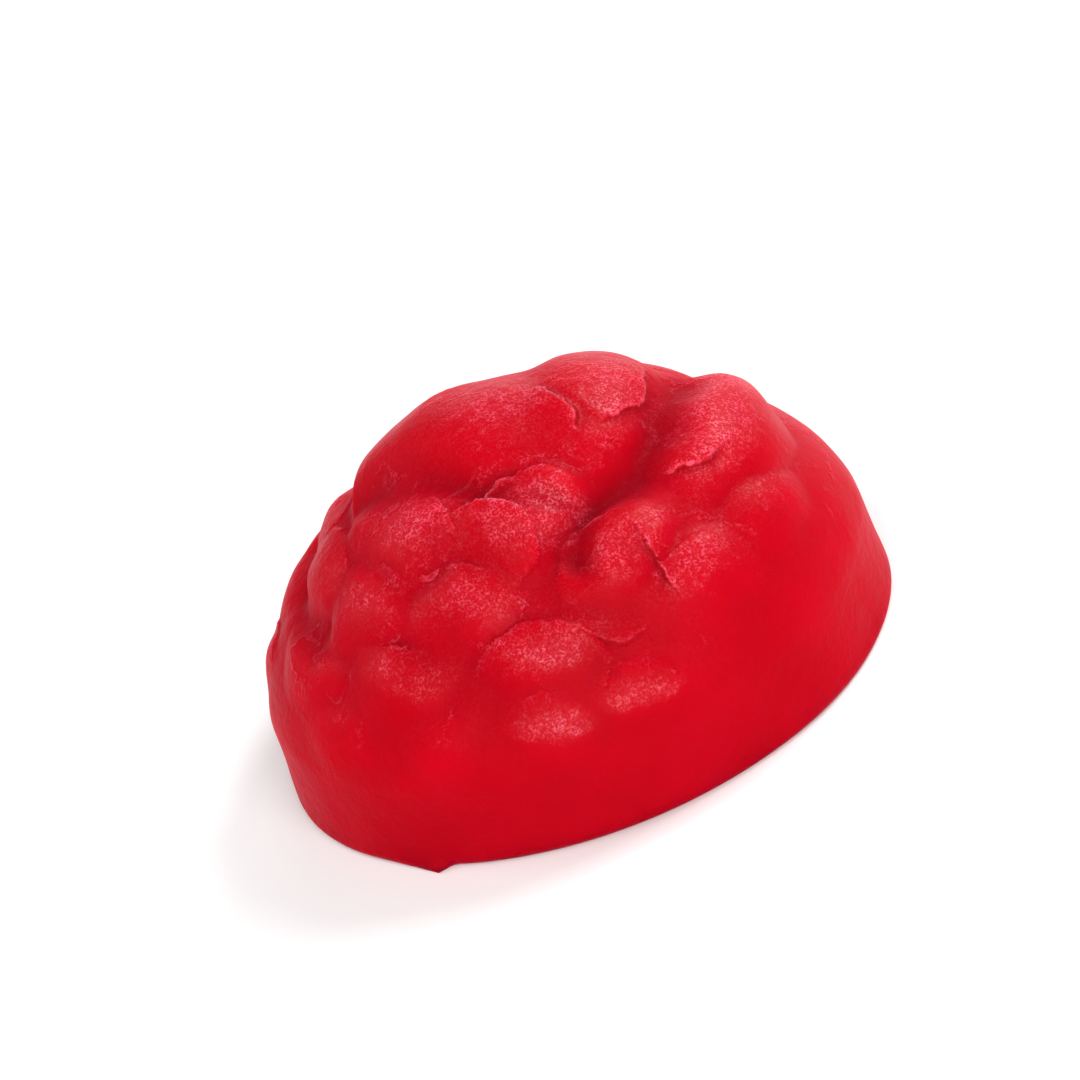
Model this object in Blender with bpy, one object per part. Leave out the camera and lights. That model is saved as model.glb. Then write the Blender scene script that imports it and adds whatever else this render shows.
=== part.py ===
"""A berry-shaped gummy sweet, lying on its flat back with its moulded relief up.

The back is in the plane z = 0. +X runs from the berry's tip to its leaves and +Y to its far flank.
The body is an egg-shaped puck with a low dome. Rounded drupelets cover the dome in staggered rows,
and broad leaf lobes lie over the crown, parted by grooves.

A place on the relief is a bearing, in degrees round the outline from +X, and a fall, which is the
share of the way from the crown (0) down to the rim (1).
"""

import math

import bmesh
import bpy
import numpy as np
from mathutils import Vector, noise

MM = 0.001

# Driving dimensions of the bare body, under the relief
LENGTH = 24.0 * MM
WIDTH = 20.6 * MM
HEIGHT = 11.9 * MM
SHOULDER = 3.4 * MM  # where the wall turns into the dome
DRAFT = 0.09  # share by which the wall would lean in over the full height
DOME_POWER = 1.64  # 2 is an ellipse, and less is more pointed
EGG = 0.04  # share by which the leaf end is wider than the tip end
RIM_RADIUS = 0.35 * MM
UNEVENNESS = 0.12 * MM
UNEVEN_SPAN = 5.0 * MM
CUTS = 32  # quads along each edge of the cube that is rounded into the body
CAP_FALL = 0.34  # how far down the cube's top face reaches
RIM_ROWS = 3  # rows of quads round the rim
SHARP_ANGLE = math.radians(50)  # faces that meet at more than this are shaded with an edge

# Relief
SIZE_SPREAD = 0.07
CREASE_POWER = 6  # higher is a sharper crease where two bumps meet
CAP_POWER = 1.1  # 1 is a round cap, and more has a softer foot
LEAN = 0.25  # how far a drupelet's peak is pushed up towards its upper edge
LEAST_STRETCH = 0.2  # keeps that lean finite far above a drupelet
BUMP_REACH = 1.6  # half lengths from a bump's centre within which it is drawn, and not on the body's far side
BEND = 0.60 * MM  # how far the outlines of the bumps and grooves wander
BEND_SPAN = 2.6 * MM
FILL = 0.15 * MM  # how high the ground between the bumps stands over the bare body
FILL_FALLS = (0.70, 0.92)  # where that ground slopes down to the plain wall
SEED = 11

# Rows of drupelets from the crown down, each with its bearings. The tip is at 180 and the near side at 270.
ROWS = (
    {"fall": 0.30, "bearings": (207,),
     "length": 6.0 * MM, "width": 5.2 * MM, "rise": 0.84 * MM},
    {"fall": 0.33, "bearings": (240,),
     "length": 6.0 * MM, "width": 5.0 * MM, "rise": 0.78 * MM},
    {"fall": 0.46, "bearings": (78, 108, 138, 168, 201, 232, 277),
     "length": 6.0 * MM, "width": 5.0 * MM, "rise": 0.62 * MM},
    {"fall": 0.60, "bearings": (64, 92, 117, 143, 185, 216, 250, 289, 317),
     "length": 6.0 * MM, "width": 4.4 * MM, "rise": 0.50 * MM},
    {"fall": 0.72, "bearings": (80, 104, 127, 157, 200, 227, 249, 266),
     "length": 4.8 * MM, "width": 3.6 * MM, "rise": 0.32 * MM},
    {"fall": 0.27, "bearings": (260,),
     "length": 5.6 * MM, "width": 3.6 * MM, "rise": 0.90 * MM},
)

# Leaf lobes: the two over the crown, and those on the near and far sides of the leaf end. The turn is
# the way that a leaf's length points, in degrees from +X, seen from above.
LEAVES = (
    {"bearing": 142, "fall": 0.15, "turn": -14,
     "length": 12.2 * MM, "width": 11.2 * MM, "rise": 1.20 * MM},
    {"bearing": 5, "fall": 0.20, "turn": 50,
     "length": 9.8 * MM, "width": 7.6 * MM, "rise": 1.15 * MM},
    {"bearing": 346, "fall": 0.43, "turn": 56,
     "length": 10.8 * MM, "width": 7.0 * MM, "rise": 1.25 * MM},
    {"bearing": 50, "fall": 0.54, "turn": -50,
     "length": 8.6 * MM, "width": 5.2 * MM, "rise": 0.60 * MM},
)

# The deep groove between the crown leaves and the near leaf, the shallow ones at the crown leaves' feet,
# and a valley between two rows at the tip.
GROOVES = (
    {"bearings": (265, 278, 311, 335, 360, 376), "falls": (0.39, 0.33, 0.31, 0.32, 0.38, 0.50),
     "half_width": 0.85 * MM, "depth": 0.75 * MM},
    {"bearings": (163, 205, 251, 278), "falls": (0.30, 0.19, 0.21, 0.33),
     "half_width": 0.75 * MM, "depth": 0.50 * MM},
    {"bearings": (163, 130, 98, 68, 42, 16), "falls": (0.34, 0.39, 0.41, 0.40, 0.41, 0.42),
     "half_width": 0.75 * MM, "depth": 0.38 * MM},
    {"bearings": (142, 158, 174, 186), "falls": (0.52, 0.54, 0.54, 0.53),
     "half_width": 0.85 * MM, "depth": 0.45 * MM},
)

# A lip of flash on the rim, where the mould was overfilled: a long ramp and a short drop. It is drawn
# only on the wall, which is outside this share of the outline.
FLASH = {"start": 202, "peak": 219, "end": 222, "reach": 0.55 * MM, "height": 0.8 * MM,
         "fade_power": 1.5, "wall_share": 0.92}

RED = (0.597, 0.004, 0.014, 1.0)


def clear_scene():
    for thing in list(bpy.data.objects):
        bpy.data.objects.remove(thing, do_unlink=True)


def body_section():
    """The body's section from the crown to the middle of the back, with the run along it.

    Returns the share of the outline, the height and the run of each point, and the runs at the wall's
    foot and at the rim.
    """
    mean_radius = (LENGTH + WIDTH) / 4
    power = 2 / DOME_POWER
    section = []
    for angle in np.linspace(math.pi / 2, 0, 120):
        height = SHOULDER + (HEIGHT - SHOULDER) * math.sin(angle) ** power
        section.append((math.cos(angle) ** power * (1 - DRAFT * height / HEIGHT), height))
    for height in np.linspace(SHOULDER, RIM_RADIUS, 20)[1:]:
        section.append((1 - DRAFT * height / HEIGHT, height))
    foot = len(section) - 1
    foot_share = section[foot][0]
    rim_share = RIM_RADIUS / mean_radius
    for angle in np.linspace(0, math.pi / 2, 12)[1:]:
        share = foot_share - rim_share * (1 - math.cos(angle))
        section.append((share, RIM_RADIUS * (1 - math.sin(angle))))
    rim = len(section) - 1
    section.append((0.0, 0.0))
    shares, heights = np.array(section).T
    steps = np.hypot(np.diff(shares) * mean_radius, np.diff(heights))
    runs = np.concatenate([[0.0], np.cumsum(steps)])
    return shares, heights, runs, runs[foot], runs[rim]


SHARES, HEIGHTS, RUNS, FOOT_RUN, RIM_RUN = body_section()


def body_points(bearings, runs):
    """Points of the bare body at bearings in radians, at a run along its section from the crown."""
    share = np.interp(runs, RUNS, SHARES)
    x = share * LENGTH / 2 * np.cos(bearings)
    y = share * WIDTH / 2 * np.sin(bearings) * (1 + EGG * np.cos(bearings))
    return np.stack([x, y, np.interp(runs, RUNS, HEIGHTS)], axis=-1)


def directions_at(bearing, fall):
    """A place on the bare body, and its directions along the contour and down the slope."""
    angle, run = math.radians(bearing), fall * RIM_RUN
    step = 0.02  # to either side, in radians and as a share of the run
    middle = body_points(angle, run)
    down = body_points(angle, run + step * RIM_RUN) - body_points(angle, max(run - step * RIM_RUN, 0.0))
    down /= np.linalg.norm(down)
    along = body_points(angle + step, run) - body_points(angle - step, run)
    along -= down * (along @ down)
    along /= np.linalg.norm(along)
    return middle, along, down


def drupelets():
    """Each drupelet as its centre, its two axes over their half lengths, its rise and its lean."""
    draw = np.random.default_rng(SEED)
    bumps = []
    for row in ROWS:
        for bearing in row["bearings"]:
            middle, along, down = directions_at(bearing, row["fall"])
            half_length = row["length"] / 2 * (1 + draw.uniform(-SIZE_SPREAD, SIZE_SPREAD))
            bumps.append((middle, along / half_length, down / (row["width"] / 2), row["rise"], LEAN))
    return bumps


def leaves():
    """Each leaf lobe, as for the drupelets."""
    bumps = []
    for leaf in LEAVES:
        middle, along, down = directions_at(leaf["bearing"], leaf["fall"])
        outwards = np.cross(down, along)
        turn = math.radians(leaf["turn"])
        long_way = np.array([math.cos(turn), math.sin(turn), 0.0])
        long_way -= outwards * (long_way @ outwards)
        long_way /= np.linalg.norm(long_way)
        across = np.cross(outwards, long_way)
        long_axis = long_way / (leaf["length"] / 2)
        bumps.append((middle, long_axis, across / (leaf["width"] / 2), leaf["rise"], 0.0))
    return bumps


def bump_lift(points, runs):
    """How far the bumps lift each point off the bare body: the highest wins, with a crease between."""
    fade = np.clip((runs / RIM_RUN - FILL_FALLS[0]) / (FILL_FALLS[1] - FILL_FALLS[0]), 0, 1)
    ground = FILL * (1 - fade * fade * (3 - 2 * fade))
    total = ground ** CREASE_POWER
    for middle, long_axis, short_axis, rise, lean in drupelets() + leaves():
        offset = points - middle
        across = offset @ short_axis
        leant = (across + lean) / np.maximum(1 + lean * across, LEAST_STRETCH)
        apart = (offset @ long_axis) ** 2 + leant ** 2
        same_side = np.linalg.norm(offset, axis=1) * np.linalg.norm(long_axis) < BUMP_REACH
        cap = rise * np.clip(1 - apart, 0, None) ** CAP_POWER * same_side
        total += cap ** CREASE_POWER
    return total ** (1 / CREASE_POWER)


def groove_depth(points):
    """How deep the grooves cut: smooth channels along bent lines on the dome, the deepest one winning."""
    depth = np.zeros(len(points))
    for groove in GROOVES:
        line = body_points(np.radians(groove["bearings"]), np.array(groove["falls"]) * RIM_RUN)
        nearest = np.full(len(points), LENGTH)
        for start, end in zip(line[:-1], line[1:]):
            share = np.clip((points - start) @ (end - start) / ((end - start) @ (end - start)), 0, 1)
            apart = np.linalg.norm(points - start - share[:, None] * (end - start), axis=1)
            nearest = np.minimum(nearest, apart)
        depth = np.maximum(depth, groove["depth"] * np.exp(-((nearest / groove["half_width"]) ** 2)))
    return depth


def flash_shift(points):
    """How the lip of flash pulls the rim's points outwards."""
    bearings = np.degrees(np.arctan2(points[:, 1] / WIDTH, points[:, 0] / LENGTH)) % 360
    ramp = np.interp(bearings, [FLASH["start"], FLASH["peak"], FLASH["end"]], [0.0, 1.0, 0.0])
    low = np.clip(1 - points[:, 2] / FLASH["height"], 0, 1) ** FLASH["fade_power"]
    outline_share = 2 * np.hypot(points[:, 0] / LENGTH, points[:, 1] / WIDTH)
    reach = FLASH["reach"] * ramp ** 2 * low * (outline_share > FLASH["wall_share"])
    outwards = points * (1, 1, 0)
    outwards /= np.maximum(np.linalg.norm(outwards, axis=1), MM)[:, None]
    return outwards * reach[:, None]


def rounded_cube():
    """A cube cut into even quads, with the bearing and run that each vertex has once it is rounded.

    Each square ring of the cube becomes a level ring of the body, so one of them is the rim's edge.
    """
    mesh = bmesh.new()
    bmesh.ops.create_cube(mesh, size=2.0)
    bmesh.ops.subdivide_edges(mesh, edges=mesh.edges, cuts=CUTS - 1, use_grid_fill=True)
    x, y, z = np.array([vertex.co for vertex in mesh.verts]).T
    ring = np.maximum(np.abs(x), np.abs(y))
    eighth = math.pi / 4 / np.maximum(ring, 1 / CUTS)
    bearings = np.arctan2(np.tan(y * eighth), np.tan(x * eighth))
    half_step = 1 / CUTS
    rings_down = np.where(z > 1 - half_step, ring, np.where(z < half_step - 1, 4 - ring, 2 - z))
    ring_marks = [0, 1, 3 - RIM_ROWS * 2 / CUTS, 3, 4]
    runs = np.interp(rings_down, ring_marks, [0, CAP_FALL * RIM_RUN, FOOT_RUN, RIM_RUN, RUNS[-1]])
    return mesh, bearings, runs


def set_points(mesh, points):
    for vertex, point in zip(mesh.verts, points):
        vertex.co = point
    mesh.normal_update()


def make_gummy():
    """The whole sweet as one closed mesh, with its box's middle over the origin and its back at z = 0."""
    mesh, bearings, runs = rounded_cube()
    back = [face for face in mesh.faces if face.calc_center_median().z < -1 + 1 / CUTS]
    points = body_points(bearings, runs)
    set_points(mesh, points)
    normals = np.array([vertex.normal for vertex in mesh.verts])
    wobble = np.array([noise.noise(Vector(point) / UNEVEN_SPAN) for point in points])
    bent = points + np.array([noise.noise_vector(Vector(point) / BEND_SPAN) * BEND for point in points])
    above_rim = np.clip(points[:, 2] / (2 * RIM_RADIUS), 0, 1)
    lift = (bump_lift(bent, runs) - groove_depth(bent) + UNEVENNESS * wobble) * above_rim
    points = points + normals * lift[:, None] + flash_shift(points)
    middle = (points.min(axis=0) + points.max(axis=0)) / 2
    set_points(mesh, points - middle * (1, 1, 0))
    bmesh.ops.dissolve_faces(mesh, faces=back, use_verts=True)
    bmesh.ops.recalc_face_normals(mesh, faces=mesh.faces)
    data = bpy.data.meshes.new("gummy")
    mesh.to_mesh(data)
    mesh.free()
    data.shade_smooth()
    data.set_sharp_from_angle(angle=SHARP_ANGLE)
    gummy = bpy.data.objects.new("gummy", data)
    bpy.context.scene.collection.objects.link(gummy)
    return gummy


def red_jelly():
    """Red jelly with a dry, satin skin."""
    material = bpy.data.materials.new("red_jelly")
    material.use_nodes = True
    shader = material.node_tree.nodes["Principled BSDF"]
    shader.inputs["Base Color"].default_value = RED
    shader.inputs["Roughness"].default_value = 0.42
    shader.inputs["Metallic"].default_value = 0.0
    return material


clear_scene()
noise.seed_set(SEED)
make_gummy().data.materials.append(red_jelly())
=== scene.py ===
import math

import bmesh
import bpy
import numpy as np
from mathutils import Matrix, Vector, noise


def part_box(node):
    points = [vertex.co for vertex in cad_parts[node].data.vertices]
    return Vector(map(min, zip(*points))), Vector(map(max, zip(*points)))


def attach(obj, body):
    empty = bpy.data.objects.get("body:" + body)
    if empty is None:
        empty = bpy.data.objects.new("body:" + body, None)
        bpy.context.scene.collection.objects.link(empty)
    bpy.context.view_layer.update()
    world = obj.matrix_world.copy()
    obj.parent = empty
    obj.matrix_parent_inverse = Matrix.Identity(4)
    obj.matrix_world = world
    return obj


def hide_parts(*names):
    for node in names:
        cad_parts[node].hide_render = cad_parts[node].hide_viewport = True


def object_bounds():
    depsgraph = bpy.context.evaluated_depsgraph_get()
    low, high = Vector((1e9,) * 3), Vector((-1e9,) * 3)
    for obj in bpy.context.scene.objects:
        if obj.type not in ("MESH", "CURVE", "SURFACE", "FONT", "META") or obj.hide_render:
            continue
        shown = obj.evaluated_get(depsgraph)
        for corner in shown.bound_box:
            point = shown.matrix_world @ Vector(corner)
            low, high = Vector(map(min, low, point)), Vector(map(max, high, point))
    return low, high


# A berry-shaped gummy sweet, lying on its flat back with its moulded relief up.
# All sizes here are in millimetres, and the mesh is made metres at the end.

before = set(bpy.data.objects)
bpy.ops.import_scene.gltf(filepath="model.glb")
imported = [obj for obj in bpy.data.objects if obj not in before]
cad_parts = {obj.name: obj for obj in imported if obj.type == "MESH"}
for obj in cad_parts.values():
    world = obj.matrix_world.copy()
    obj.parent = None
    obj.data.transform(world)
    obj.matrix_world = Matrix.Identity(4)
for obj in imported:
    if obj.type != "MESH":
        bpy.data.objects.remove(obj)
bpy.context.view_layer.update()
millimetre = 0.001


# The bare body, under the relief

bodySizes = {
    "length": 24.0,
    "width": 20.6,
    "height": 11.9,
    "shoulder": 3.4,         # where the wall turns into the dome
    "draft": 0.09,           # share by which the wall would lean in over the full height
    "domePower": 1.64,       # 2 is an ellipse, and less is more pointed
    "egg": 0.04,             # share by which the leaf end is wider than the tip end
    "rimRadius": 0.35,
    "cuts": 120,             # quads along each edge of the cube that is rounded into the body
    "capFall": 0.34,         # how far down the cube's top face reaches
    "rimRows": 6,            # rows of quads round the rim
    "domeSteps": 500,        # how finely the section is drawn
    "wallSteps": 40,
    "rimSteps": 24,
}


def bodySection():
    # the section from the crown to the middle of the back: share of the outline, height, and run along it
    sizes = bodySizes
    meanRadius = (sizes["length"] + sizes["width"]) / 4
    power = 2 / sizes["domePower"]
    domeHeight = sizes["height"] - sizes["shoulder"]
    section = []
    for angle in np.linspace(math.pi / 2, 0, sizes["domeSteps"]):
        height = sizes["shoulder"] + domeHeight * math.sin(angle) ** power
        section.append((math.cos(angle) ** power * (1 - sizes["draft"] * height / sizes["height"]), height))
    for height in np.linspace(sizes["shoulder"], sizes["rimRadius"], sizes["wallSteps"])[1:]:
        section.append((1 - sizes["draft"] * height / sizes["height"], height))
    foot = len(section) - 1
    footShare = section[foot][0]
    rimShare = sizes["rimRadius"] / meanRadius
    for angle in np.linspace(0, math.pi / 2, sizes["rimSteps"])[1:]:
        share = footShare - rimShare * (1 - math.cos(angle))
        section.append((share, sizes["rimRadius"] * (1 - math.sin(angle))))
    rim = len(section) - 1
    section.append((0.0, 0.0))
    shares, heights = np.array(section).T
    steps = np.hypot(np.diff(shares) * meanRadius, np.diff(heights))
    runs = np.concatenate([[0.0], np.cumsum(steps)])
    return shares, heights, runs, runs[foot], runs[rim]


sectionShares, sectionHeights, sectionRuns, footRun, rimRun = bodySection()


def bodyPoints(bearings, runs):
    # bearings in radians round the outline from +X, and a run along the section from the crown
    share = np.interp(runs, sectionRuns, sectionShares)
    x = share * bodySizes["length"] / 2 * np.cos(bearings)
    y = share * bodySizes["width"] / 2 * np.sin(bearings) * (1 + bodySizes["egg"] * np.cos(bearings))
    return np.stack([x, y, np.interp(runs, sectionRuns, sectionHeights)], axis=-1)


def directionsAt(bearing, fall):
    # a place on the bare body, and its directions along the contour and down the slope
    angle = math.radians(bearing)
    run = fall * rimRun
    step = 0.02
    middle = bodyPoints(angle, run)
    down = bodyPoints(angle, run + step * rimRun) - bodyPoints(angle, max(run - step * rimRun, 0.0))
    down /= np.linalg.norm(down)
    along = bodyPoints(angle + step, run) - bodyPoints(angle - step, run)
    along -= down * (along @ down)
    along /= np.linalg.norm(along)
    return middle, along, down


# The relief: drupelets in staggered rows, leaf lobes over the crown, and grooves between them.
# A place is a bearing, in degrees round the outline from +X, and a fall, which is the share of the way
# from the crown (0) down to the rim (1). The tip is at 180 and the near side at 270.

relief = {
    "sizeSpread": 0.07,
    "creasePower": 6,        # higher is a sharper crease where two bumps meet
    "capPower": 1.1,         # 1 is a round cap, and more has a softer foot
    "lean": 0.25,            # how far a drupelet's peak is pushed up towards its upper edge
    "leastStretch": 0.2,     # keeps the lean from folding a bump over
    "bumpReach": 1.6,        # how far from its middle a bump is looked for, so that it stays on its own side
    "bend": 0.60,            # how far the outlines of the bumps and grooves wander
    "bendSpan": 2.6,         # each span is the size of one wave
    "fill": 0.15,            # how high the ground between the bumps stands over the bare body
    "fillFalls": (0.70, 0.92),
    "frostAndHighlightPlace": (0.08, -0.20, 0.60, 0.42),    # a drupelet's patch of frost and painted highlight, unless its row says
    "seed": 11,
    "unevenness": 0.12,
    "unevenSpan": 5.0,
    "ripple": 0.035,         # finer waves in the skin
    "rippleSpan": 1.3,
    "rippleShift": 50,       # so that they don't follow the slow waves
    "upwardSlopes": (0.2, 0.9),    # from here to here the skin counts more and more as facing up
    "hollowDepth": 0.6,      # the groove depth that counts as a full hollow
    "hollowShare": 0.7,
    "lowGround": 0.25,       # ground lower than this between the bumps counts as hollow too
}

# A row's frost values set each drupelet's frost, which the material also paints lighter as a highlight
rows = (
    {"fall": 0.30, "bearings": (207,), "length": 6.0, "width": 5.2, "rise": 0.84, "frostAndHighlight": (0.8,)},
    {"fall": 0.33, "bearings": (240,), "length": 6.0, "width": 5.0, "rise": 0.78, "frostAndHighlight": (0.45,)},
    {"fall": 0.46, "bearings": (78, 108, 138, 168, 201, 232, 277), "length": 6.0, "width": 5.0, "rise": 0.62,
     "frostAndHighlight": (0.6, 0.8, 0.5, 0.45, 0.5, 0.7, 0.9)},
    {"fall": 0.60, "bearings": (64, 92, 117, 143, 185, 216, 250, 289, 317), "length": 6.0, "width": 4.4,
     "rise": 0.50, "frostAndHighlight": (0.5, 0.6, 0.85, 0.4, 0.3, 0.6, 0.95, 0.9, 0.5),
     "frostAndHighlightPlace": (0.16, -0.34, 0.62, 0.38)},
    {"fall": 0.72, "bearings": (80, 104, 127, 157, 200, 227, 249, 266), "length": 4.8, "width": 3.6,
     "rise": 0.32, "frostAndHighlight": (0.7, 0.3, 0.6, 0.2, 0.15, 0.25, 0.85, 0.75),
     "frostAndHighlightPlace": (0.05, -0.10, 0.74, 0.32)},
    {"fall": 0.27, "bearings": (260,), "length": 5.6, "width": 3.6, "rise": 0.90, "frostAndHighlight": (1.3,),
     "frostAndHighlightPlace": (0.05, 0.10, 0.85, 0.70)},
)

# The turn is the way that a leaf's length points, in degrees from +X, seen from above.
# A patch of frost and painted highlight is its place along and across the leaf, its reach along and across
# (each a share of the half size), and its strength.
leafLobes = (
    {"bearing": 142, "fall": 0.15, "turn": -14, "length": 12.2, "width": 11.2, "rise": 1.20,
     "frostAndHighlight": ((0.50, -0.17, 0.36, 0.22, 0.82), (-0.2, 0.5, 0.45, 0.4, 0.5))},
    {"bearing": 5, "fall": 0.20, "turn": 50, "length": 9.8, "width": 7.6, "rise": 1.15,
     "frostAndHighlight": ((-0.15, -0.35, 0.55, 0.45, 0.78), (0.5, 0.2, 0.4, 0.3, 0.6))},
    {"bearing": 346, "fall": 0.43, "turn": 56, "length": 10.8, "width": 7.0, "rise": 1.25,
     "frostAndHighlight": ((-0.35, 0.0, 0.5, 0.45, 1.0), (0.35, 0.05, 0.5, 0.4, 0.95))},
    {"bearing": 50, "fall": 0.54, "turn": -50, "length": 8.6, "width": 5.2, "rise": 0.60,
     "frostAndHighlight": ((0.1, 0.1, 0.6, 0.45, 0.7),)},
)

grooves = (
    {"bearings": (265, 278, 311, 335, 360, 376), "falls": (0.39, 0.33, 0.31, 0.32, 0.38, 0.50),
     "halfWidth": 0.85, "depth": 0.75},
    {"bearings": (163, 205, 251, 278), "falls": (0.30, 0.19, 0.21, 0.33), "halfWidth": 0.75, "depth": 0.50},
    {"bearings": (163, 130, 98, 68, 42, 16), "falls": (0.34, 0.39, 0.41, 0.40, 0.41, 0.42),
     "halfWidth": 0.75, "depth": 0.38},
    {"bearings": (142, 158, 174, 186), "falls": (0.52, 0.54, 0.54, 0.53), "halfWidth": 0.85, "depth": 0.45},
)

# A lip of flash on the rim, where the mould was overfilled: a long ramp and a short drop
flash = {
    "start": 202,            # bearings
    "peak": 219,
    "end": 222,
    "reach": 0.55,
    "height": 0.8,
    "fadePower": 1.5,
    "wallShare": 0.92,       # only points further out than this share of the outline move
}


def makeBumps():
    # every drupelet and leaf as its centre, two axes over its half lengths, rise, lean and patches of frost
    # and painted highlight
    draw = np.random.default_rng(relief["seed"])
    bumps = []
    for row in rows:
        frostAndHighlightPlace = row.get("frostAndHighlightPlace", relief["frostAndHighlightPlace"])
        for bearing, frostAndHighlight in zip(row["bearings"], row["frostAndHighlight"]):
            middle, along, down = directionsAt(bearing, row["fall"])
            halfLength = row["length"] / 2 * (1 + draw.uniform(-relief["sizeSpread"], relief["sizeSpread"]))
            bumps.append({"middle": middle, "long": along / halfLength, "short": down / (row["width"] / 2),
                          "rise": row["rise"], "lean": relief["lean"], "frostAndHighlight": ((*frostAndHighlightPlace, frostAndHighlight),)})
    for leaf in leafLobes:
        middle, along, down = directionsAt(leaf["bearing"], leaf["fall"])
        outwards = np.cross(down, along)
        turn = math.radians(leaf["turn"])
        longWay = np.array([math.cos(turn), math.sin(turn), 0.0])
        longWay -= outwards * (longWay @ outwards)
        longWay /= np.linalg.norm(longWay)
        across = np.cross(outwards, longWay)
        bumps.append({"middle": middle, "long": longWay / (leaf["length"] / 2),
                      "short": across / (leaf["width"] / 2), "rise": leaf["rise"], "lean": 0.0,
                      "frostAndHighlight": leaf["frostAndHighlight"]})
    return bumps


def bumpPlace(points, bump):
    # how far along and across a bump each point is, as shares of its half sizes, and if it is on its side
    offset = points - bump["middle"]
    sameSide = np.linalg.norm(offset, axis=1) * np.linalg.norm(bump["long"]) < relief["bumpReach"]
    return offset @ bump["long"], offset @ bump["short"], sameSide


def smoothStep(values, low, high):
    share = np.clip((values - low) / (high - low), 0, 1)
    return share * share * (3 - 2 * share)


def noiseAt(points, span):
    return np.array([noise.noise(Vector(point) / span) for point in points])


def wanderAt(points, span):
    return np.array([noise.noise_vector(Vector(point) / span) for point in points])


def reliefOf(points, runs, bumps):
    # the highest bump wins at each point, with a crease between, and frost with painted highlight lies on
    # each bump's patches
    ground = relief["fill"] * (1 - smoothStep(runs / rimRun, *relief["fillFalls"]))
    total = ground ** relief["creasePower"]
    frostAndHighlight = np.zeros(len(points))
    for bump in bumps:
        along, across, sameSide = bumpPlace(points, bump)
        leant = (across + bump["lean"]) / np.maximum(1 + bump["lean"] * across, relief["leastStretch"])
        apart = along ** 2 + leant ** 2
        cap = bump["rise"] * np.clip(1 - apart, 0, None) ** relief["capPower"] * sameSide
        total += cap ** relief["creasePower"]
        for placeAlong, placeAcross, reachAlong, reachAcross, strength in bump["frostAndHighlight"]:
            far = ((along - placeAlong) / reachAlong) ** 2 + ((across - placeAcross) / reachAcross) ** 2
            frostAndHighlight = np.maximum(frostAndHighlight, strength * np.exp(-far) * sameSide)
    return total ** (1 / relief["creasePower"]), frostAndHighlight


def grooveDepth(points):
    depth = np.zeros(len(points))
    for groove in grooves:
        line = bodyPoints(np.radians(groove["bearings"]), np.array(groove["falls"]) * rimRun)
        nearest = np.full(len(points), bodySizes["length"])
        for start, end in zip(line[:-1], line[1:]):
            share = np.clip((points - start) @ (end - start) / ((end - start) @ (end - start)), 0, 1)
            apart = np.linalg.norm(points - start - share[:, None] * (end - start), axis=1)
            nearest = np.minimum(nearest, apart)
        depth = np.maximum(depth, groove["depth"] * np.exp(-((nearest / groove["halfWidth"]) ** 2)))
    return depth


def flashShift(points):
    acrossLength = points[:, 0] / bodySizes["length"]
    acrossWidth = points[:, 1] / bodySizes["width"]
    bearings = np.degrees(np.arctan2(acrossWidth, acrossLength)) % 360
    ramp = np.interp(bearings, [flash["start"], flash["peak"], flash["end"]], [0.0, 1.0, 0.0])
    low = np.clip(1 - points[:, 2] / flash["height"], 0, 1) ** flash["fadePower"]
    outlineShare = 2 * np.hypot(acrossLength, acrossWidth)
    reach = flash["reach"] * ramp ** 2 * low * (outlineShare > flash["wallShare"])
    outwards = points * (1, 1, 0)
    outwards /= np.maximum(np.linalg.norm(outwards, axis=1), 1)[:, None]
    return outwards * reach[:, None]


# Cracks in the dry skin. Most follow a drupelet's upper edge, where one moulded cell stands over the next.
# They are given by the drupelet's number, from the first row down, with the angles on it where the crack
# starts and ends, 0 being its right end seen from outside and 90 its upper edge, the step's height, and for
# some the share of the drupelet's half size at which it runs. The others are drawn by rule.

skin = {
    "edge": 0.80,            # where on a drupelet its crack runs, unless it says
    "rag": 0.22,             # how far a crack strays from its line
    "ragSpan": 0.9,
    "tear": 0.08,            # how far it strays in its finer jags
    "tearSpan": 0.22,
    "stepFade": 1.1,         # how far the raised side slopes back down
    "sinkFade": 0.35,        # how far the low side is pulled down
    "lineReach": 0.22,       # how far beyond its end a crack fades out
    "stepReach": 0.8,        # and its step
    "taperShare": 0.22,      # the share of its length over which each end tapers
    "taperPower": 0.7,
    "leastShown": 0.25,      # how much of it still shows at its very end
    "lipWidth": 0.14,        # how far from the crack its step is at its full height
    "raisedShare": 0.6,      # of the step is above the skin, and the rest below
    "sunkShare": 0.4,
    "shownStep": 0.14,       # a step of this height or more shows its crack in full
    "spacing": 0.10,
    "around": 2.5,           # how far round a crack the skin is changed
    "noCrack": 2.0,          # the distance that skin without a crack is given
    "edgePoints": 24,
    "farMiddles": (70, 115),
    "farSpreads": (40, 75),
    "farSteps": (0.05, 0.13),
    "seed": 4,
}

edgeCracks = {
    0: (80, -50, 0.18, 0.70),
    1: (140, -58, 0.34, 0.70),
    26: (165, 20, 0.24),
    5: (130, 50, 0.12),
    6: (110, 15, 0.06),
    7: (165, 60, 0.07),
    8: (190, 60, 0.22),
    14: (185, 60, 0.10),
    15: (175, -40, 0.24),
    16: (125, 45, 0.09),
    24: (120, 60, 0.04),
    25: (110, 60, 0.04),
}
plainDrupelets = (13, 17, 22, 23)

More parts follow.
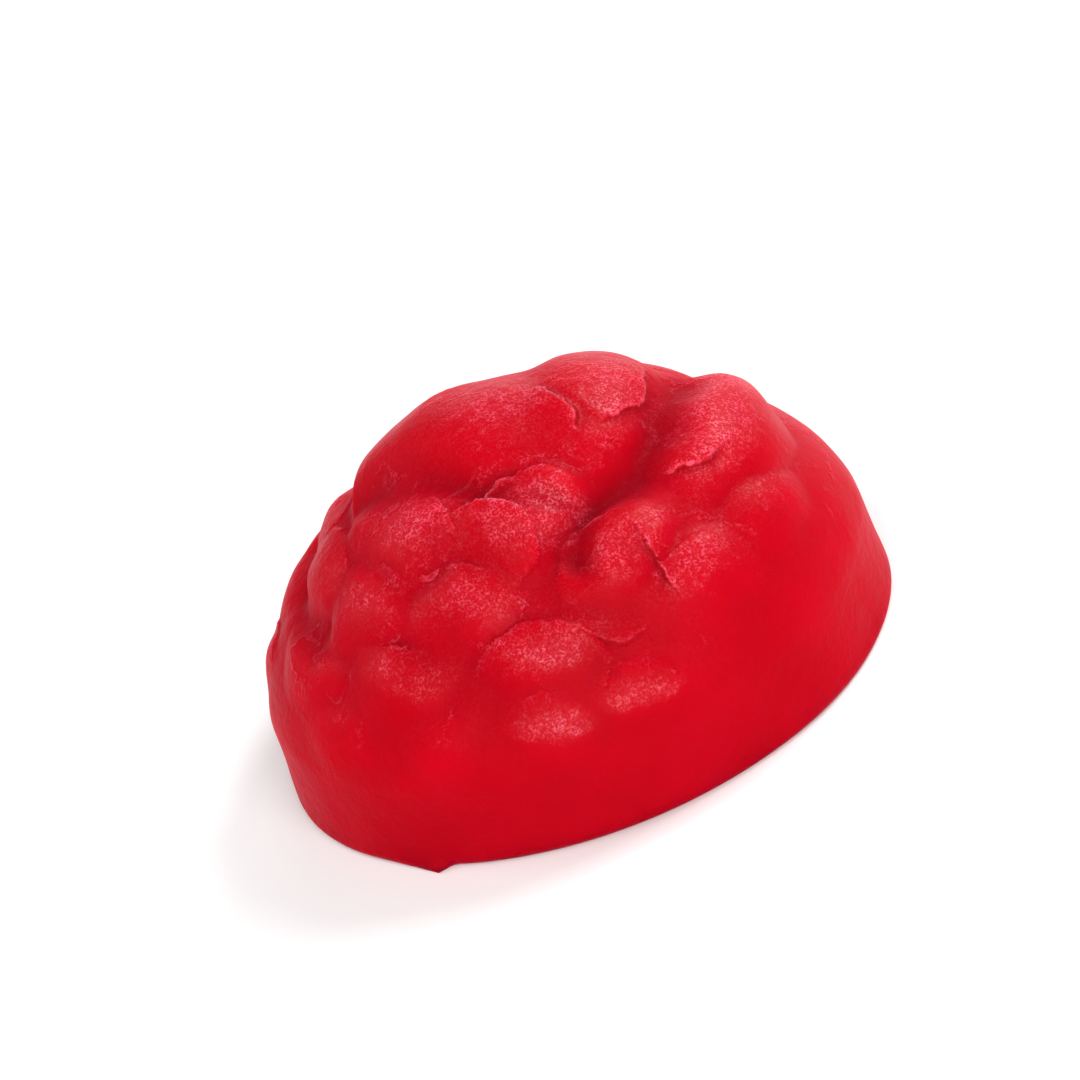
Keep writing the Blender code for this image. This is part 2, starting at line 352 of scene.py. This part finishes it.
# Cracks on the leaf lobes, as bearings and falls, with the raised side on the left as seen from outside
leafCracks = (
    {"places": ((306, 0.19), (318, 0.17), (330, 0.14), (0, 0.10)), "step": 0.24},
    {"places": ((317, 0.22), (333, 0.26), (344, 0.28), (2, 0.31)), "step": 0.24},
    {"places": ((308, 0.37), (313, 0.42), (320, 0.44), (327, 0.45)), "step": 0.22},
    {"places": ((285, 0.42), (284, 0.47), (283, 0.53), (283, 0.58)), "step": 0.14},
    {"places": ((258, 0.52), (262, 0.56), (267, 0.61), (273, 0.60)), "step": 0.05},
    {"places": ((88, 0.16), (108, 0.20), (126, 0.17)), "step": 0.10},
)

# The back is drawn up a little inside its rim, and has raised seams where the drying skin wrinkled,
# given as places in the plane of the back
backSizes = {
    "drawnUp": 0.16,         # in the middle
    "edge": 3.0,             # how far inwards from the rim that takes
    "uneven": 0.35,
    "unevenSpan": 4.0,
    "seamHalfWidth": 0.28,
    "seamSpacing": 0.2,
    "seamStray": 0.35,
}

backSeams = (
    {"places": ((-7.5, 3.0), (-4.5, 3.6), (-1.0, 2.4)), "step": 0.05},
    {"places": ((-1.0, 2.4), (1.5, 3.4), (4.0, 2.0), (7.0, 2.8)), "step": 0.06},
    {"places": ((4.0, 2.0), (4.6, -1.0), (3.2, -3.4), (3.6, -6.2)), "step": 0.06},
    {"places": ((3.2, -3.4), (0.4, -3.0), (-2.6, -4.4), (-5.0, -3.6)), "step": 0.05},
    {"places": ((0.4, -3.0), (-0.2, -5.6)), "step": 0.04},
)


def evenLine(corners, spacing):
    # a bent line cut into even steps
    steps = np.linalg.norm(np.diff(corners, axis=0), axis=1)
    runs = np.concatenate([[0.0], np.cumsum(steps)])
    places = np.linspace(0, runs[-1], max(int(runs[-1] / spacing), 3))
    return np.stack([np.interp(places, runs, column) for column in corners.T], axis=-1)


def roundedLine(corners):
    # corners cut twice, so that a crack bends instead of folding
    for _ in range(2):
        leaving = corners[:-1] * 0.75 + corners[1:] * 0.25
        arriving = corners[:-1] * 0.25 + corners[1:] * 0.75
        inner = np.concatenate([leaving, arriving], axis=1)
        corners = np.concatenate([corners[:1], inner.reshape(-1, 3), corners[-1:]])
    return corners


def strayed(line):
    # a slow wander and a fine tear
    wander = [noise.noise_vector(Vector(point) / skin["ragSpan"]) * skin["rag"] for point in line]
    tear = [noise.noise_vector(Vector(point) / skin["tearSpan"]) * skin["tear"] for point in line]
    return line + np.array(wander) + np.array(tear)


def laidOnSkin(line, bare, skinPoints):
    # moves a line on the bare body to the same places on the finished skin
    nearest = [np.argmin(((bare - point) ** 2).sum(axis=1)) for point in line]
    return line + (skinPoints - bare)[nearest]


def crackLines(bumps):
    draw = np.random.default_rng(skin["seed"])
    cracks = []
    drupeletCount = sum(len(row["bearings"]) for row in rows)
    for number in range(drupeletCount):
        middleAngle = draw.uniform(*skin["farMiddles"])
        spread = draw.uniform(*skin["farSpreads"])
        step = draw.uniform(*skin["farSteps"])
        if number in plainDrupelets:
            continue
        byRule = (middleAngle + spread, middleAngle - spread, step)
        start, end, step, *edges = edgeCracks.get(number, byRule)
        edge = edges[0] if edges else skin["edge"]
        bump = bumps[number]
        halfLength = 1 / np.linalg.norm(bump["long"])
        halfWidth = 1 / np.linalg.norm(bump["short"])
        angles = np.radians(np.linspace(end, start, skin["edgePoints"]))
        line = (bump["middle"] + np.outer(np.cos(angles) * edge * halfLength ** 2, bump["long"])
                - np.outer(np.sin(angles) * edge * halfWidth ** 2, bump["short"]))
        cracks.append((line, step))
    for crack in leafCracks:
        bearings, falls = np.array(crack["places"]).T
        cracks.append((roundedLine(bodyPoints(np.radians(bearings), falls * rimRun)), crack["step"]))
    return cracks


def crackFields(bare, points, normals, cracks):
    # for each point, its distance in mm from the nearest crack, positive on the raised side, how much of that
    # crack is there, and how far the skin is lifted
    side = np.full(len(points), skin["noCrack"])
    reach = np.zeros(len(points))
    lift = np.zeros(len(points))
    for corners, step in cracks:
        line = laidOnSkin(strayed(evenLine(corners, skin["spacing"])), bare, points)
        windowLow = line.min(axis=0) - skin["around"]
        windowHigh = line.max(axis=0) + skin["around"]
        near = np.flatnonzero(np.all((points > windowLow) & (points < windowHigh), axis=1))
        starts = line[:-1]
        ways = line[1:] - starts
        lengths = np.maximum((ways ** 2).sum(axis=1), 1e-9)
        offsets = points[near][:, None, :] - starts
        shares = np.clip((offsets * ways).sum(axis=2) / lengths, 0, 1)
        apart = offsets - shares[:, :, None] * ways
        distances = np.linalg.norm(apart, axis=2)
        best = distances.argmin(axis=1)
        pick = np.arange(len(near))
        distance = distances[pick, best]
        leftWay = np.cross(normals[near], ways[best])
        leftWay /= np.maximum(np.linalg.norm(leftWay, axis=1), 1e-9)[:, None]
        leftwards = (apart[pick, best] * leftWay).sum(axis=1)
        signed = np.where(leftwards >= 0, 1, -1) * distance
        along = (best + shares[pick, best]) / len(ways)
        taper = np.clip(np.minimum(along, 1 - along) / skin["taperShare"], 0, 1) ** skin["taperPower"]
        beyond = np.sqrt(np.maximum(distance ** 2 - leftwards ** 2, 0))
        shown = skin["leastShown"] + (1 - skin["leastShown"]) * taper
        presence = np.clip(1 - beyond / skin["lineReach"], 0, 1) * shown
        raised = np.exp(-distance / skin["stepFade"]) * np.clip(signed / skin["lipWidth"], 0, 1)
        sunk = np.exp(-distance / skin["sinkFade"]) * np.clip(-signed / skin["lipWidth"], 0, 1)
        stepped = skin["raisedShare"] * raised - skin["sunkShare"] * sunk
        lift[near] += step * stepped * taper * np.clip(1 - beyond / skin["stepReach"], 0, 1)
        closer = distance < np.abs(side[near])
        chosen = near[closer]
        side[chosen] = signed[closer]
        reach[chosen] = (presence * min(step / skin["shownStep"], 1))[closer]
    return side, reach, lift


# The sweet's mesh

def roundedCube():
    # a cube cut into even quads, with the bearing and run that each vertex has once it is rounded
    # each square ring of the cube becomes a level ring of the body, so one of them is the rim's edge
    mesh = bmesh.new()
    cuts = bodySizes["cuts"]
    bmesh.ops.create_cube(mesh, size=2.0)
    bmesh.ops.subdivide_edges(mesh, edges=mesh.edges, cuts=cuts - 1, use_grid_fill=True)
    x, y, z = np.array([vertex.co for vertex in mesh.verts]).T
    ring = np.maximum(np.abs(x), np.abs(y))
    eighth = math.pi / 4 / np.maximum(ring, 1 / cuts)
    bearings = np.arctan2(np.tan(y * eighth), np.tan(x * eighth))
    halfStep = 1 / cuts
    ringsDown = np.where(z > 1 - halfStep, ring, np.where(z < halfStep - 1, 4 - ring, 2 - z))
    footRing = 3 - bodySizes["rimRows"] * 2 / cuts
    capRun = bodySizes["capFall"] * rimRun
    runs = np.interp(ringsDown, [0, 1, footRing, 3, 4], [0, capRun, footRun, rimRun, sectionRuns[-1]])
    return mesh, bearings, runs


def setPoints(mesh, points):
    for vertex, point in zip(mesh.verts, points):
        vertex.co = point
    mesh.normal_update()
    return np.array([vertex.normal for vertex in mesh.verts])


def backShape(bare, runs):
    # how far the back is drawn up inside its rim, less where a seam is raised
    onBack = runs > rimRun
    inwards = smoothStep(runs, rimRun, rimRun + backSizes["edge"])
    unevenly = 1 + backSizes["uneven"] * noiseAt(bare, backSizes["unevenSpan"])
    drawn = backSizes["drawnUp"] * inwards * unevenly
    for seam in backSeams:
        corners = np.array([(x, y, 0.0) for x, y in seam["places"]])
        line = evenLine(roundedLine(corners), backSizes["seamSpacing"])
        line += wanderAt(line, skin["ragSpan"]) * (backSizes["seamStray"], backSizes["seamStray"], 0.0)
        spans = np.linalg.norm(bare[:, None, :2] - line[None, :, :2], axis=2).min(axis=1)
        drawn = drawn - seam["step"] * np.exp(-((spans / backSizes["seamHalfWidth"]) ** 2)) * inwards
    return np.clip(drawn, 0, None) * onBack


def addAttribute(data, name, values):
    attribute = data.attributes.new(name, "FLOAT", "POINT")
    attribute.data.foreach_set("value", values.astype(np.float32))


def makeGummy():
    mesh, bearings, runs = roundedCube()
    bare = bodyPoints(bearings, runs)
    normals = setPoints(mesh, bare)
    print("body rounded:", len(mesh.verts), "points")
    bumps = makeBumps()
    bent = bare + wanderAt(bare, relief["bendSpan"]) * relief["bend"]
    lift, frostAndHighlight = reliefOf(bent, runs, bumps)
    groove = grooveDepth(bent)
    aboveRim = np.clip(bare[:, 2] / (2 * bodySizes["rimRadius"]), 0, 1)
    waves = relief["unevenness"] * noiseAt(bare, relief["unevenSpan"])
    ripples = relief["ripple"] * noiseAt(bare + relief["rippleShift"], relief["rippleSpan"])
    points = bare + normals * ((lift - groove + waves + ripples) * aboveRim)[:, None] + flashShift(bare)
    print("relief raised:", len(bumps), "bumps")
    normals = setPoints(mesh, points)
    cracks = crackLines(bumps)
    side, reach, steps = crackFields(bare, points, normals, cracks)
    # upward-facing skin, which the material paints lighter as a highlight from above
    upward = smoothStep(normals[:, 2], *relief["upwardSlopes"])
    points = points + normals * (steps * aboveRim)[:, None]
    points[:, 2] += backShape(bare, runs)
    print("skin cracked:", len(cracks), "cracks")
    # hollow: grooves and low ground, which the material paints darker as shade and makes rougher
    hollow = np.clip(groove / relief["hollowDepth"], 0, 1) * relief["hollowShare"]
    hollow += np.clip(relief["lowGround"] - lift, 0, relief["lowGround"]) * aboveRim

    boxLow, boxHigh = (np.array(corner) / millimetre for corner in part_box("gummy"))
    low = points.min(axis=0)
    high = points.max(axis=0)
    points = boxLow + (points - low) * (boxHigh - boxLow) / (high - low)
    setPoints(mesh, points * millimetre)
    bmesh.ops.recalc_face_normals(mesh, faces=mesh.faces)
    data = bpy.data.meshes.new("gummySweet")
    mesh.to_mesh(data)
    mesh.free()
    data.shade_smooth()
    # The frost attribute places frost and painted highlight, and hollow places painted shade
    made = {"frostAndHighlight": frostAndHighlight, "hollow": hollow, "upward": upward, "crackSide": side, "crackReach": reach}
    for name, values in made.items():
        addAttribute(data, name, values)
    sweet = bpy.data.objects.new("gummySweet", data)
    bpy.context.scene.collection.objects.link(sweet)
    return sweet


# Shader maths on sockets

class Wire:
    def __init__(self, socket):
        self.socket = socket

    def maths(self, operation, first, second=0.0):
        tree = self.socket.id_data
        node = tree.nodes.new("ShaderNodeMath")
        node.operation = operation
        for place, value in enumerate((first, second)):
            if isinstance(value, Wire):
                tree.links.new(value.socket, node.inputs[place])
            else:
                node.inputs[place].default_value = value
        return Wire(node.outputs[0])

    def __add__(self, other):
        return self.maths("ADD", self, other)

    def __radd__(self, other):
        return self.maths("ADD", other, self)

    def __sub__(self, other):
        return self.maths("SUBTRACT", self, other)

    def __rsub__(self, other):
        return self.maths("SUBTRACT", other, self)

    def __mul__(self, other):
        return self.maths("MULTIPLY", self, other)

    def __rmul__(self, other):
        return self.maths("MULTIPLY", other, self)

    def __abs__(self):
        return self.maths("ABSOLUTE", self)


class Painter:
    def __init__(self, name):
        self.material = bpy.data.materials.new(name)
        self.material.use_nodes = True
        self.tree = self.material.node_tree
        self.shader = self.tree.nodes["Principled BSDF"]

    def node(self, kind, settings, sockets, output=0):
        # settings are set first, and then each socket gets a value or a link
        made = self.tree.nodes.new(kind)
        for name, value in settings.items():
            setattr(made, name, value)
        for name, value in sockets.items():
            self.feed(made.inputs[name], value)
        return Wire(made.outputs[output])

    def feed(self, socket, value):
        if isinstance(value, Wire):
            self.tree.links.new(value.socket, socket)
        else:
            socket.default_value = value

    def attribute(self, name):
        return self.node("ShaderNodeAttribute", {"attribute_name": name}, {}, "Fac")

    def noise(self, place, span, detail=3.0, roughness=0.6):
        # place is in metres, and span is the size of one patch in mm
        return self.node("ShaderNodeTexNoise", {}, {
            "Vector": place, "Scale": 1 / (span * millimetre), "Detail": detail, "Roughness": roughness})

    def between(self, value, low, high, bottom=0.0, top=1.0):
        # a smooth step from bottom to top as value goes from low to high
        return self.node("ShaderNodeMapRange", {"interpolation_type": "SMOOTHSTEP"}, {
            "Value": value, "From Min": low, "From Max": high, "To Min": bottom, "To Max": top})

    def mix(self, factor, first, second):
        return self.node("ShaderNodeMix", {"data_type": "RGBA"}, {0: factor, 6: first, 7: second}, 2)

    def bump(self, height, distance, strength, normal=None):
        sockets = {"Height": height, "Distance": distance * millimetre, "Strength": strength}
        if normal is not None:
            sockets["Normal"] = normal
        return self.node("ShaderNodeBump", {}, sockets)


# Red jelly: see-through a few millimetres deep, with a dry satin skin that is frosted on the high places.
# The frost's pink is partly a painted highlight, and the hollows are painted darker as shade

jelly = {
    "red": (0.400, 0.0005, 0.0112, 1.0),
    "deepRed": (0.362, 0.0004, 0.0092, 1.0),
    # hollowShadeRed is painted shade for the grooves and hollows
    "hollowShadeRed": (0.290, 0.0003, 0.0070, 1.0),
    # crackLineAndShadeRed is the cracks' own dark line and also the painted shade on their low side
    "crackLineAndShadeRed": (0.240, 0.0003, 0.0055, 1.0),
    "cloudSpan": 3.2,        # each span is the size of one patch of a pattern
    "cloudEdges": (0.35, 0.65),
    "hollowShare": 0.9,
    "glowDepth": (1.0, 0.10, 0.09),
    "glowScale": 4.5,
    "roughness": 0.42,
    "hollowRoughness": 0.25,
    "specular": 0.05,
}

# The dry skin: frost in grains and ragged patches, threads of fine wrinkles, and a satin coat over both.
# The frost's pink is partly dry bloom and partly a painted highlight
bloomAndHighlightSizes = {
    # the frost's pink is partly the skin's dry bloom and partly a painted highlight
    "frostAndHighlightPink": (0.560, 0.075, 0.123, 1.0),
    "frostRoughness": 0.55,
    "grainSpan": 0.09,
    "grainEdges": (0.46, 0.60),
    "grainLeast": 0.2,       # how rough the skin is where it has no frost
    "fleckSpan": 0.30,
    "fleckEdges": (0.36, 0.60, 0.25, 1.0),
    "patchSpan": 0.9,
    "patchRag": 1.1,         # how far the patches and flecks fray the edge of the frost
    "fleckRag": 0.5,
    "frostAndHighlightEdges": (0.30, 0.85),
    "speckShare": 0.58,
    "fleckShare": 0.14,
    "upwardHighlightShare": 0.10,
    "threadSpan": 1.9,
    "threadWidths": (0.004, 0.030),
    "threadClouds": (0.46, 0.58),
    "threadSlopes": (0.15, 0.45),
    "threadShare": 0.5,
    "satinEdges": (0.15, 0.75),
    "satinUpward": 0.25,
    "satinPatches": 0.4,
    "satinSpecks": 0.40,
    "satinLeast": 0.10,
    "satinRoughness": 0.38,
    "haze": 0.09,
    "hazeRoughness": 0.35,
    "hazePink": (1.0, 0.36, 0.46, 1.0),
}

# Beside a crack, by the distance from it, which is positive on the raised side. The raised lip is painted
# lighter as a highlight, and the low side is painted darker as shade
crackLooks = {
    "line": (0.026, 0.104),
    "lineShare": 0.8,
    "lipStart": (0.05, 0.09),
    "lipEnd": (0.12, 0.50),
    "lipShare": 0.7,
    "edgeStart": (0.04, 0.07),
    "edgeEnd": (0.10, 0.20),
    "edgeFlecks": (0.40, 0.55, 0.15, 0.65),
    "shadeStart": (-0.45, 0.0),
    "shadeEnd": (0.0, 0.05),
    "shadeShare": 0.35,
    "bareStart": (-1.3, -0.6),
    "bareEnd": (-0.03, 0.03),
    "bareShare": 0.85,       # how much of the frost and its painted highlight is missing on the low side
}

# Raised detail that is too fine for the mesh: its height and its strength
fineBumps = {
    "grain": (0.06, 0.8),
    "creases": (0.07, 0.85),
    "threads": (0.06, 0.8),
    "patches": (0.10, 0.35),
    "cracks": (0.09, 0.8),
}
creaseSpan = 0.38


def jellyMaterial():
    paint = Painter("redJelly")
    place = paint.node("ShaderNodeTexCoord", {}, {}, "Object")
    frostAndHighlight = paint.attribute("frostAndHighlight")
    hollow = paint.attribute("hollow")
    crackSide = paint.attribute("crackSide")
    crackReach = paint.attribute("crackReach")
    upward = paint.attribute("upward")

    grain = paint.noise(place, bloomAndHighlightSizes["grainSpan"], roughness=0.65)
    flecks = paint.noise(place, bloomAndHighlightSizes["fleckSpan"])
    patches = paint.noise(place, bloomAndHighlightSizes["patchSpan"])
    clouds = paint.noise(place, jelly["cloudSpan"], detail=2.0, roughness=0.5)
    creases = paint.noise(place, creaseSpan, detail=4.0)
    bends = paint.noise(place, bloomAndHighlightSizes["threadSpan"], roughness=0.55)

    def beside(startName, endName):
        # a band beside the cracks
        started = paint.between(crackSide, *crackLooks[startName])
        return started * (1 - paint.between(crackSide, *crackLooks[endName])) * crackReach

    crack = (1 - paint.between(abs(crackSide), *crackLooks["line"])) * crackReach
    # painted highlight along the raised lip of each crack
    lipHighlight = beside("lipStart", "lipEnd")
    lipEdgeHighlight = beside("edgeStart", "edgeEnd")
    shade = beside("shadeStart", "shadeEnd")
    lowSide = beside("bareStart", "bareEnd")

    # the frost mask, which also places the painted highlight
    ragged = frostAndHighlight + (patches - 0.5) * bloomAndHighlightSizes["patchRag"] + (flecks - 0.5) * bloomAndHighlightSizes["fleckRag"]
    frostAndHighlightMask = paint.between(ragged, *bloomAndHighlightSizes["frostAndHighlightEdges"])
    specks = paint.between(grain, *bloomAndHighlightSizes["grainEdges"])
    specks = specks * paint.between(flecks, *bloomAndHighlightSizes["fleckEdges"])
    threads = 1 - paint.between(abs(bends - 0.5), *bloomAndHighlightSizes["threadWidths"])
    threads = threads * paint.between(clouds, *bloomAndHighlightSizes["threadClouds"])
    threads = threads * paint.between(upward, *bloomAndHighlightSizes["threadSlopes"])
    # frost pink, partly a painted highlight, on frost, crack lips, wrinkle threads and upward-facing skin
    bloomAndHighlight = specks * bloomAndHighlightSizes["speckShare"] + flecks * bloomAndHighlightSizes["fleckShare"]
    bloomAndHighlight = frostAndHighlightMask * (1 - lowSide * crackLooks["bareShare"]) * bloomAndHighlight
    bloomAndHighlight = bloomAndHighlight + lipHighlight * specks * crackLooks["lipShare"]
    bloomAndHighlight = bloomAndHighlight + lipEdgeHighlight * paint.between(flecks, *crackLooks["edgeFlecks"])
    bloomAndHighlight = bloomAndHighlight + threads * specks * bloomAndHighlightSizes["threadShare"]
    # painted highlight: upward-facing skin lighter, as if lit from above
    bloomAndHighlight = bloomAndHighlight + upward * specks * bloomAndHighlightSizes["upwardHighlightShare"]

    colour = paint.mix(paint.between(clouds, *jelly["cloudEdges"]), jelly["deepRed"], jelly["red"])
    # painted shade: grooves and hollows darker
    colour = paint.mix(hollow * jelly["hollowShare"], colour, jelly["hollowShadeRed"])
    # painted shade on the low side of each crack
    colour = paint.mix(shade * crackLooks["shadeShare"], colour, jelly["crackLineAndShadeRed"])
    colour = paint.mix(crack * crackLooks["lineShare"], colour, jelly["crackLineAndShadeRed"])
    # the frost pink is mixed in: dry bloom and painted highlight
    colour = paint.mix(bloomAndHighlight, colour, bloomAndHighlightSizes["frostAndHighlightPink"])
    paint.feed(paint.shader.inputs["Base Color"], colour)

    roughness = frostAndHighlightMask * (bloomAndHighlightSizes["frostRoughness"] - jelly["roughness"]) + jelly["roughness"]
    paint.feed(paint.shader.inputs["Roughness"], roughness + hollow * jelly["hollowRoughness"])
    satin = frostAndHighlight + upward * bloomAndHighlightSizes["satinUpward"] + (patches - 0.5) * bloomAndHighlightSizes["satinPatches"] - hollow
    satin = paint.between(satin, *bloomAndHighlightSizes["satinEdges"])
    satin = satin * (specks * bloomAndHighlightSizes["satinSpecks"] + bloomAndHighlightSizes["satinLeast"])
    paint.feed(paint.shader.inputs["Coat Weight"], satin * (1 - crack))

    rough = frostAndHighlightMask * (1 - bloomAndHighlightSizes["grainLeast"]) + bloomAndHighlightSizes["grainLeast"]
    heights = {"grain": grain * rough, "creases": creases, "threads": threads,
               "patches": patches, "cracks": 0 - crack}
    normal = None
    for name, height in heights.items():
        normal = paint.bump(height, *fineBumps[name], normal)
    paint.feed(paint.shader.inputs["Normal"], normal)

    constants = {
        "Subsurface Weight": 1.0,
        "Subsurface Radius": jelly["glowDepth"],
        "Subsurface Scale": jelly["glowScale"] * millimetre,
        "IOR": 1.45,
        "Specular IOR Level": jelly["specular"],
        "Coat Roughness": bloomAndHighlightSizes["satinRoughness"],
        "Coat IOR": 1.5,
        "Sheen Weight": bloomAndHighlightSizes["haze"],
        "Sheen Roughness": bloomAndHighlightSizes["hazeRoughness"],
        "Sheen Tint": bloomAndHighlightSizes["hazePink"],
    }
    for name, value in constants.items():
        paint.shader.inputs[name].default_value = value
    return paint.material


noise.seed_set(relief["seed"])
gummySweet = makeGummy()
gummySweet.data.materials.append(jellyMaterial())
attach(gummySweet, "root")
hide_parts("gummy")
print("sweet made:", len(gummySweet.data.polygons), "faces")


# Camera, rolled so that the sweet leans in the picture as it does in the pile

view = {
    "azimuth": -12.5,
    "elevation": 32.3,
    "roll": 21.3,
    "lens": 200.0,
    "sensor": 36.0,
    "sweetShare": 0.60,      # of the frame's width
}


def makeCamera():
    low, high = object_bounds()
    elevation = math.radians(view["elevation"])
    roll = math.radians(view["roll"])
    level = Matrix.Rotation(math.radians(view["azimuth"]), 3, "Z")
    right = level @ Vector((1, 0, 0))
    up = level @ Vector((0, math.sin(elevation), math.cos(elevation)))
    right, up = right * math.cos(roll) - up * math.sin(roll), right * math.sin(roll) + up * math.cos(roll)
    back = right.cross(up)
    frameWidth = (high.x - low.x) / view["sweetShare"]
    distance = frameWidth * view["lens"] / view["sensor"]
    data = bpy.data.cameras.new("camera")
    data.lens = view["lens"]
    data.sensor_width = view["sensor"]
    data.clip_start = distance / 50
    data.clip_end = distance * 50
    camera = bpy.data.objects.new("camera", data)
    turn = Matrix((right, up, back)).transposed().to_4x4()
    camera.matrix_world = Matrix.Translation((low + high) / 2 + back * distance) @ turn
    bpy.context.scene.collection.objects.link(camera)
    bpy.context.scene.camera = camera
    return right, up, back


cameraRight, cameraUp, cameraBack = makeCamera()


# A white studio: a wide floor, a white surround, and soft light from above and behind

studio = {
    "floorHalf": 3.0,
    "floorWhite": 0.80,
    "surround": 0.28,
}

# Each lamp's direction is right, up and towards the camera in the picture, and distances are in metres
lamps = (
    {"name": "overhead", "direction": (0.40, 1.0, 0.10), "distance": 0.30, "size": 0.14, "power": 0.58},
    {"name": "front", "direction": (0.10, -0.10, 1.0), "distance": 0.50, "size": 0.60, "power": 3.5},
    {"name": "left", "direction": (-1.0, 0.35, 0.15), "distance": 0.45, "size": 0.40, "power": 0.75},
    {"name": "behind", "direction": (0.10, 1.1, -0.90), "distance": 0.45, "size": 0.35, "power": 0.5},
)


def makeFloor():
    mesh = bmesh.new()
    bmesh.ops.create_grid(mesh, x_segments=1, y_segments=1, size=studio["floorHalf"])
    data = bpy.data.meshes.new("floor")
    mesh.to_mesh(data)
    mesh.free()
    floor = bpy.data.objects.new("floor", data)
    bpy.context.scene.collection.objects.link(floor)
    paint = Painter("floorPaper")
    paint.shader.inputs["Base Color"].default_value = (studio["floorWhite"],) * 3 + (1.0,)
    paint.shader.inputs["Roughness"].default_value = 0.9
    paint.shader.inputs["Specular IOR Level"].default_value = 0.0
    data.materials.append(paint.material)


def makeLamps():
    middle = Vector((0, 0, bodySizes["height"] / 2 * millimetre))
    for lamp in lamps:
        data = bpy.data.lights.new(lamp["name"], "AREA")
        data.shape = "DISK"
        data.size = lamp["size"]
        data.energy = lamp["power"]
        light = bpy.data.objects.new(lamp["name"], data)
        sideways, upwards, towards = lamp["direction"]
        way = (cameraRight * sideways + cameraUp * upwards + cameraBack * towards).normalized()
        light.location = middle + way * lamp["distance"]
        light.rotation_mode = "QUATERNION"
        light.rotation_quaternion = (-way).to_track_quat("-Z", "Y")
        bpy.context.scene.collection.objects.link(light)


def makeSurround():
    world = bpy.data.worlds.new("surround")
    world.use_nodes = True
    tree = world.node_tree
    shown = tree.nodes["Background"]
    shown.inputs["Color"].default_value = (1, 1, 1, 1)
    lightPath = tree.nodes.new("ShaderNodeLightPath")
    strength = Wire(lightPath.outputs["Is Camera Ray"]) * (1 - studio["surround"]) + studio["surround"]
    tree.links.new(strength.socket, shown.inputs["Strength"])
    bpy.context.scene.world = world


makeFloor()
makeLamps()
makeSurround()
bpy.context.scene.view_settings.view_transform = "Standard"
bpy.context.scene.view_settings.look = "Medium High Contrast"
print("studio set")
